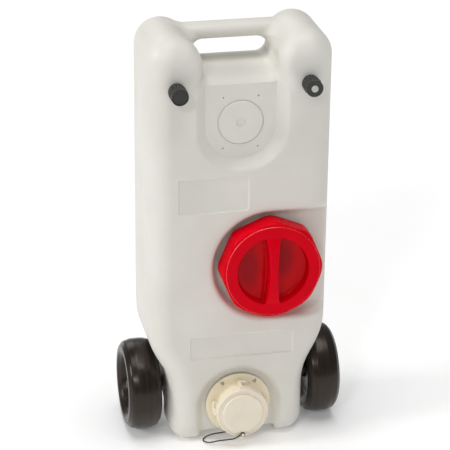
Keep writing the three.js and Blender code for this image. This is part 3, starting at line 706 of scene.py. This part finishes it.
# ---------------------------------------------------------------- materials
def linear(r, g, b):
    fix = lambda v: v / 12.92 if v <= 0.04045 else ((v + 0.055) / 1.055) ** 2.4
    return tuple(fix(c / 255) for c in (r, g, b)) + (1,)


class Finish:
    """A Principled material with noise driven colour, roughness and bump."""

    def __init__(self, name, **settings):
        self.material = bpy.data.materials.new(name)
        self.material.use_nodes = True
        self.tree = self.material.node_tree
        self.shader = self.tree.nodes["Principled BSDF"]
        self.place = self.tree.nodes.new("ShaderNodeTexCoord").outputs["Object"]
        self.bumped = None
        for key, value in settings.items():
            self.shader.inputs[key.replace("_", " ")].default_value = value

    def node(self, kind, **values):
        node = self.tree.nodes.new("ShaderNode" + kind)
        for key, value in values.items():
            if hasattr(node, key):
                setattr(node, key, value)
            else:
                node.inputs[key.replace("_", " ")].default_value = value
        return node

    def link(self, a, b):
        self.tree.links.new(a, b)
        return self

    def noise(self, scale, detail=3, rough=0.5, stretch=None, vector=None):
        vector = vector or self.place
        if stretch:
            mapping = self.node("Mapping")
            mapping.inputs["Scale"].default_value = stretch
            self.link(vector, mapping.inputs["Vector"])
            vector = mapping.outputs["Vector"]
        node = self.node("TexNoise", Scale=scale, Detail=detail, Roughness=rough)
        self.link(vector, node.inputs["Vector"])
        return node.outputs["Fac"]

    def spread(self, value, low, high, start=0.3, end=0.7):
        node = self.node("MapRange")
        for key, v in (("From Min", start), ("From Max", end), ("To Min", low), ("To Max", high)):
            node.inputs[key].default_value = v
        self.link(value, node.inputs["Value"])
        return node.outputs["Result"]

    def colour(self, value, dark, light, start=0.3, end=0.7):
        node = self.node("ValToRGB")
        ramp = node.color_ramp
        ramp.elements[0].position, ramp.elements[1].position = start, end
        ramp.elements[0].color, ramp.elements[1].color = dark, light
        self.link(value, node.inputs["Fac"])
        self.link(node.outputs["Color"], self.shader.inputs["Base Color"])
        return self

    def roughness(self, value, low, high, start=0.3, end=0.7):
        return self.link(self.spread(value, low, high, start, end), self.shader.inputs["Roughness"])

    def bump(self, value, distance, strength=1.0):
        node = self.node("Bump", Strength=strength, Distance=distance)
        self.link(value, node.inputs["Height"])
        if self.bumped:
            self.link(self.bumped, node.inputs["Normal"])
        self.bumped = node.outputs["Normal"]
        return self.link(self.bumped, self.shader.inputs["Normal"])


def tank_finish():
    f = Finish("tank_plastic", IOR=1.5, Specular_IOR_Level=0.35)
    f.colour(f.noise(7, 4, 0.55), linear(222, 219, 211), linear(228, 226, 218), 0.35, 0.65)
    f.roughness(f.noise(160, 3), 0.36, 0.5)
    f.bump(f.noise(26, 2, 0.4), 0.0012, 0.35)
    f.bump(f.noise(620, 2, 0.5), 0.00012, 0.5)
    return f.material


def plain_finish(name, dark, light, rough, grain, depth):
    f = Finish(name)
    f.colour(f.noise(38, 4, 0.55), linear(*dark), linear(*light))
    f.roughness(f.noise(240, 3), *rough)
    f.bump(f.noise(grain, 2), depth, 0.5)
    return f.material


def red_finish():
    f = Finish("red_plastic", IOR=1.45, Specular_IOR_Level=0.05)
    f.colour(f.noise(30, 3), linear(213, 0, 24), linear(222, 1, 29))
    f.roughness(f.noise(210, 3), 0.26, 0.34)
    f.bump(f.noise(40, 2), 0.0004, 0.2)
    return f.material


def round_place(f, first, second):
    """The place turned into a distance from an axis and a height along it, for round streaks."""
    parts = f.node("SeparateXYZ")
    f.link(f.place, parts.inputs["Vector"])
    squares = []
    for name, middle in (first, second):
        less = f.node("Math", operation="SUBTRACT")
        f.link(parts.outputs[name], less.inputs[0])
        less.inputs[1].default_value = middle * MM
        square = f.node("Math", operation="POWER")
        f.link(less.outputs[0], square.inputs[0])
        square.inputs[1].default_value = 2
        squares.append(square.outputs[0])
    both = f.node("Math", operation="ADD")
    f.link(squares[0], both.inputs[0]).link(squares[1], both.inputs[1])
    radius = f.node("Math", operation="SQRT")
    f.link(both.outputs[0], radius.inputs[0])
    place = f.node("CombineXYZ")
    along = ({"X", "Y", "Z"} - {first[0], second[0]}).pop()
    f.link(parts.outputs[along], place.inputs["X"]).link(radius.outputs[0], place.inputs["Y"])
    return place.outputs["Vector"]


def wheel_finish():
    """Semi-gloss black with fine streaks round the wheel."""
    f = Finish("wheel_plastic", IOR=1.5, Specular_IOR_Level=0.36, Specular_Tint=(1, 0.84, 0.68, 1),
               Coat_Weight=0.2, Coat_Roughness=0.16)
    place = round_place(f, ("Y", AXLE_Y), ("Z", AXLE_Z))
    streaks = f.noise(230, 4, 0.6, vector=place)
    f.colour(streaks, linear(14, 11, 9), linear(36, 28, 22), 0.35, 0.7)
    f.roughness(streaks, 0.24, 0.42)
    f.bump(streaks, 0.0006, 0.6)
    return f.material


def polished_with_painted_light(cap):
    """The cap's recess gets a glossy red with painted light: a darker red for painted shade and two duller
    brownish patches for painted reflections. Its ring's edge gets a glossier, lighter red as a painted
    highlight. Each has its own finish.
    """
    recess = Finish("red_recess_painted_shade_and_reflection", IOR=1.45, Specular_IOR_Level=0.12)
    painted_reflection_patches = recess.node("Math", operation="MAXIMUM")
    # two painted reflections: duller brownish round patches, one each side of the rib
    for slot, x, z, width, height in ((0, -43, 1, 29, 62), (1, 27, 18, 27, 60)):
        mapping = recess.node("Mapping")
        grow = Vector((1 / width, 1 / 60, 1 / height)) / MM
        mapping.inputs["Scale"].default_value = grow
        mapping.inputs["Location"].default_value = -grow * Vector((FILL_X + x, -88, FILL_Z + z)) * MM
        patch = recess.node("TexGradient", gradient_type="SPHERICAL")
        recess.link(recess.place, mapping.inputs["Vector"])
        recess.link(mapping.outputs["Vector"], patch.inputs["Vector"])
        recess.link(patch.outputs["Fac"], painted_reflection_patches.inputs[slot])
    # painted shade: the recess is a darker red than the rest of the cap, and browner still in the painted
    # reflection patches
    recess.colour(painted_reflection_patches.outputs[0], linear(202, 0, 16), linear(160, 12, 24), 0.12, 0.6)
    arcs = recess.noise(330, 2, 0.5, vector=round_place(recess, ("X", FILL_X), ("Z", FILL_Z)))
    recess.bump(arcs, 0.0005, 0.35)
    recess.roughness(recess.noise(210, 3), 0.1, 0.18)
    recess.bump(recess.noise(34, 2), 0.0008, 0.3)
    # painted highlight: the ring's edge is a lighter, pinker red than the cap, on top of its stronger real
    # gloss
    edge = Finish("red_edge_painted_highlight", IOR=1.5, Specular_IOR_Level=0.9)
    edge.colour(edge.noise(30, 3), linear(222, 24, 30), linear(230, 34, 34))
    edge.roughness(edge.noise(210, 3), 0.25, 0.32)
    for f in (recess, edge):
        cap.data.materials.append(f.material)
    # material 1, with painted shade and reflections, goes on the recess; material 2, with a painted
    # highlight, goes on the ring's edge
    for polygon in cap.data.polygons:
        x, y, z = polygon.center / MM - Vector((FILL_X, 0, FILL_Z))
        r = math.hypot(x, z)
        beside_rib = abs(x) > 8.2 + 6.8 * (z / 70) ** 2
        if r < 72.5 and 86 < -y < 106.5 and beside_rib:
            polygon.material_index = 1
        elif 92.7 < r < 95 and -y > 106.3:
            polygon.material_index = 2


def steel_finish():
    f = Finish("steel", Metallic=1.0)
    f.colour(f.noise(300, 3), linear(168, 158, 143), linear(226, 217, 203))
    f.roughness(f.noise(900, 2), 0.24, 0.42)
    f.bump(f.noise(1500, 2), 0.00004, 0.4)
    return f.material


FINISH = {
    "tank_plastic": tank_finish(),
    "red_plastic": red_finish(),
    "wheel_plastic": wheel_finish(),
    "steel": steel_finish(),
}
# darkest and lightest colour, roughness, grain and its depth
for name, *look in (
    ("cream_plastic", (236, 226, 205), (243, 234, 215), (0.3, 0.42), 800, 0.00008),
    ("black_plastic", (36, 36, 35), (49, 49, 47), (0.42, 0.56), 900, 0.00012),
    ("pale_plastic", (172, 182, 171), (190, 198, 187), (0.3, 0.4), 900, 0.00006),
    ("rubber", (26, 26, 26), (38, 38, 37), (0.65, 0.8), 1200, 0.0001),
    ("cord_rubber", (24, 24, 25), (36, 36, 37), (0.5, 0.65), 1400, 0.0001),
):
    FINISH[name] = plain_finish(name, *look)


# ---------------------------------------------------------------- pieces
def dress(obj, slot, body, *nodes):
    """Gives a piece its finish and its body, and hides the CAD nodes that it stands for."""
    obj.data.materials.clear()
    obj.data.materials.append(FINISH[slot])
    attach(obj, body)
    if nodes:
        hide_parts(*nodes)
    return obj


def moulded(name, field, low, high, cell):
    """An object whose surface is where a field is zero, between two corners."""
    return make(name, *surface(field, low, high, cell, relax=1), sharp=40)


def round_piece(name, profile, slot, body, node, axis="front", at=(0, 0, 0), segments=96, closed=True):
    obj = make(name, *turned(fillet(profile), segments, axis, at, closed), sharp=38)
    return dress(obj, slot, body, node)


def washer(inner, outer, low, high, r=0.4):
    """The profile of a flat ring. It starts and ends in the middle of its bore."""
    corners = [(inner, low, r), (outer, low, r), (outer, high, r), (inner, high, r)]
    return corners + [(inner, (low + high) / 2)]


dress(tank(), "tank_plastic", "tote", "tank_shell")

cap = moulded("fill_cap_moulding", fill_cap_field,
              (FILL_X - 104, -122, FILL_Z - 104), (FILL_X + 104, -63, FILL_Z + 104), 1.3)
dress(cap, "red_plastic", "fill_turn", "fill_cap")
polished_with_painted_light(cap)
round_piece("fill_cap_gasket_ring", washer(82.5, 89.5, 100.3, 103.3), "rubber", "fill_lift",
            "fill_cap_gasket", at=(FILL_X, 0, FILL_Z))

flange = moulded("outlet_flange_moulding", flange_field,
                 (-68, -106, OUTLET_Z - 68), (68, -53, OUTLET_Z + 68), 1.0)
dress(flange, "cream_plastic", "tote", "outlet_flange")
# the flange is a yellower batch of the same plastic
flange.data.materials[0] = plain_finish("flange_plastic", (242, 230, 201), (249, 238, 213),
                                        (0.34, 0.46), 800, 0.00008)
outlet_cap = moulded("outlet_cap_moulding", outlet_cap_field,
                     (-58, -120, OUTLET_Z - 62), (58, -78, OUTLET_Z + 58), 0.85)
dress(outlet_cap, "cream_plastic", "outlet_cap_turn", "outlet_cap")
round_piece("outlet_gasket_ring", washer(46, 65, 64.8, 66.4), "rubber", "tote",
            "outlet_gasket", at=(0, 0, OUTLET_Z))
round_piece("outlet_cap_seal_ring", washer(38, 45.4, 104.3, 108.2), "rubber", "outlet_cap_turn",
            "outlet_cap_seal", at=(0, 0, OUTLET_Z))

screw_verts, screw_faces = surface(screw_field, (-4.6, -3.2, -4.6), (4.6, 4.2, 4.6), 0.3, relax=1)
for i, (right, up) in enumerate(((-1, 1), (1, 1), (-1, -1), (1, -1)), 1):
    lift = 3.3 if i == 4 else 0.3  # the fourth screw holds the tether's ring
    turn = math.radians(25 * i)
    x, y, z = screw_verts.T
    place = [x * math.cos(turn) - z * math.sin(turn) + right * SCREW_X, y - 71.7 - lift,
             x * math.sin(turn) + z * math.cos(turn) + OUTLET_Z + up * SCREW_Z]
    screw = make(f"outlet_screw_head_{i}", np.stack(place, 1), screw_faces, sharp=35)
    dress(screw, "steel", "tote", f"outlet_screw_{i}")

for name, side in (("left", -1), ("right", 1)):
    at = (side * VENT_X, FRONT, VENT_Z)
    field = lambda x, y, z: vent_cap_field(x, y, z, valve=side > 0)
    verts, faces = surface(field, (-18, -38.5, -18), (18, -1, 18), 0.6, relax=1)
    vent = make(name + "_vent_cap_moulding", verts + np.array(at), faces, sharp=40)
    dress(vent, "black_plastic", name + "_vent_turn", name + "_vent_cap")
    round_piece(name + "_vent_seal_ring", washer(9.5, 12.4, 27.3, 29.3), "rubber", name + "_vent_lift",
                name + "_vent_seal", at=at)

# the press valve: the button and its stem, the washer at the stem's end and the spring between
VENT_AT = (VENT_X, FRONT, VENT_Z)
button = [(0, 15), (2.6, 15, 0.3), (2.6, 16.1, 0.3), (1.8, 16.1), (1.8, 33), (6.7, 33, 0.4), (6.7, 39.2, 1.4)]
round_piece("right_vent_button_moulding", button + [(0, 40)], "pale_plastic", "right_vent_valve",
            "right_vent_button", at=VENT_AT, closed=False)
round_piece("right_vent_valve_washer", washer(2.1, 5.5, 16.4, 18.7), "rubber", "right_vent_valve",
            "right_vent_valve_disc", at=VENT_AT)
COIL_R, COIL_TURNS = 4.9, 4
coil_end = 2 * math.pi * COIL_TURNS
coil = [(VENT_X + COIL_R * math.cos(a), FRONT - 21.95 - 10.2 * a / coil_end, VENT_Z + COIL_R * math.sin(a))
        for a in np.linspace(0, coil_end, 12 * COIL_TURNS + 1)]
spring = make("right_vent_coil_spring", *tube(coil, 0.45, 10, 3)[:2])
spring.data.materials.append(FINISH["steel"])
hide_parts("right_vent_spring")
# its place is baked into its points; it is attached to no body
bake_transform(spring)

AXLE_AT = (0, AXLE_Y, AXLE_Z)
round_piece("axle_rod_bar", [(0, -205), (6, -205, 1), (6, 205, 1), (0, 205)], "steel", "tote", "axle_rod",
            "right", AXLE_AT, 64, closed=False)
dome = [(0, 205.3), (6.3, 205.3), (6.3, 198.3, 0.3), (11, 198.3, 0.8), (11, 204.5, 3), (7, 209.2, 3)]
for name, side in (("left", -1), ("right", 1)):
    round_piece(name + "_axle_spacer_tube", washer(6.3, 12, 137.3, 149.7, 1), "black_plastic", "tote",
                name + "_axle_spacer", name, AXLE_AT, 64)
    round_piece(name + "_wheel_washer_disc", washer(6.3, 13, 196.3, 198), "steel", "tote",
                name + "_wheel_washer", name, AXLE_AT, 64)
    round_piece(name + "_axle_cap_dome", dome + [(0, 209.6)], "black_plastic", "tote",
                name + "_axle_cap", name, AXLE_AT, 64, closed=False)
    dress(wheel(name + "_wheel_moulding", side), "wheel_plastic", name + "_wheel_body", name + "_wheel")

stud = [(0, -5), (1.6, -5), (1.6, 3.2), (2.9, 3.2, 0.3), (2.9, 4.9, 1.0), (0, 5.5)]
round_piece("tether_pin_stud", stud, "cream_plastic", "outlet_cap_turn", "tether_pin",
            at=(0, -114.5, PIN_Z), segments=48, closed=False)


def eye(name, inner, at, body, node):
    """The ring at an end of the tether."""
    major = inner + 0.3 + CORD_R
    loop = [(at[0] + major * math.cos(a), at[1], at[2] + major * math.sin(a))
            for a in np.linspace(0, 2 * math.pi, 13)[:-1]]
    return dress(make(name, *tube(loop, CORD_R, 14, 4, closed=True)[:2]), "cord_rubber", body, node)


cap_eye = eye("tether_eye_at_cap", 1.95, (0, -116.15, PIN_Z), "outlet_cap_turn", "tether_eye_cap")
flange_eye = eye("tether_eye_at_flange", 2.0, (SCREW_X, -73.35, OUTLET_Z - SCREW_Z), "tote",
                 "tether_eye_flange")
verts, faces, line = tube([[v / MM for v in p] for p in TETHER], CORD_R, 14, 6)
tether = make("tether_line", verts, faces)
tether.data.materials.append(FINISH["cord_rubber"])
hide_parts("tether_cord")
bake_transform(tether)


# ---------------------------------------------------------------- floor and light
def floor():
    half = 30.0
    corners = [(-half, -half, 0), (half, -half, 0), (half, half, 0), (-half, half, 0)]
    mesh = bpy.data.meshes.new("floor")
    mesh.from_pydata(corners, [], [(0, 1, 2, 3)])
    obj = bpy.data.objects.new("floor", mesh)
    scene.collection.objects.link(obj)
    f = Finish("floor_card", Specular_IOR_Level=0.2)
    f.colour(f.noise(3, 2), linear(250, 250, 250), linear(253, 253, 253))
    f.shader.inputs["Roughness"].default_value = 0.8
    f.shader.inputs["Emission Color"].default_value = (1, 1, 1, 1)
    f.shader.inputs["Emission Strength"].default_value = 0.12
    mesh.materials.append(f.material)


def sun(name, way, power, angle):
    """A distant soft light that shines from the direction `way`."""
    light = bpy.data.lights.new(name, "SUN")
    light.energy = power
    light.angle = math.radians(angle)
    obj = bpy.data.objects.new(name, light)
    obj.rotation_euler = Vector(way).to_track_quat("Z", "Y").to_euler()
    scene.collection.objects.link(obj)


floor()
world = bpy.data.worlds.new("world")
scene.world = world
world.use_nodes = True
world.node_tree.nodes["Background"].inputs["Color"].default_value = (1, 1, 1, 1)
world.node_tree.nodes["Background"].inputs["Strength"].default_value = 0.25
sun("side_light", (-1, -0.05, 0.5), 0.98, 16)
sun("left_light", (-0.55, -0.9, 0.7), 0.44, 9)
sun("top_light", (0, -0.1, 1), 1.42, 40)
sun("back_light", (-0.15, 1, 0.6), 0.25, 30)
scene.view_settings.view_transform = "Standard"
scene.view_settings.look = "None"
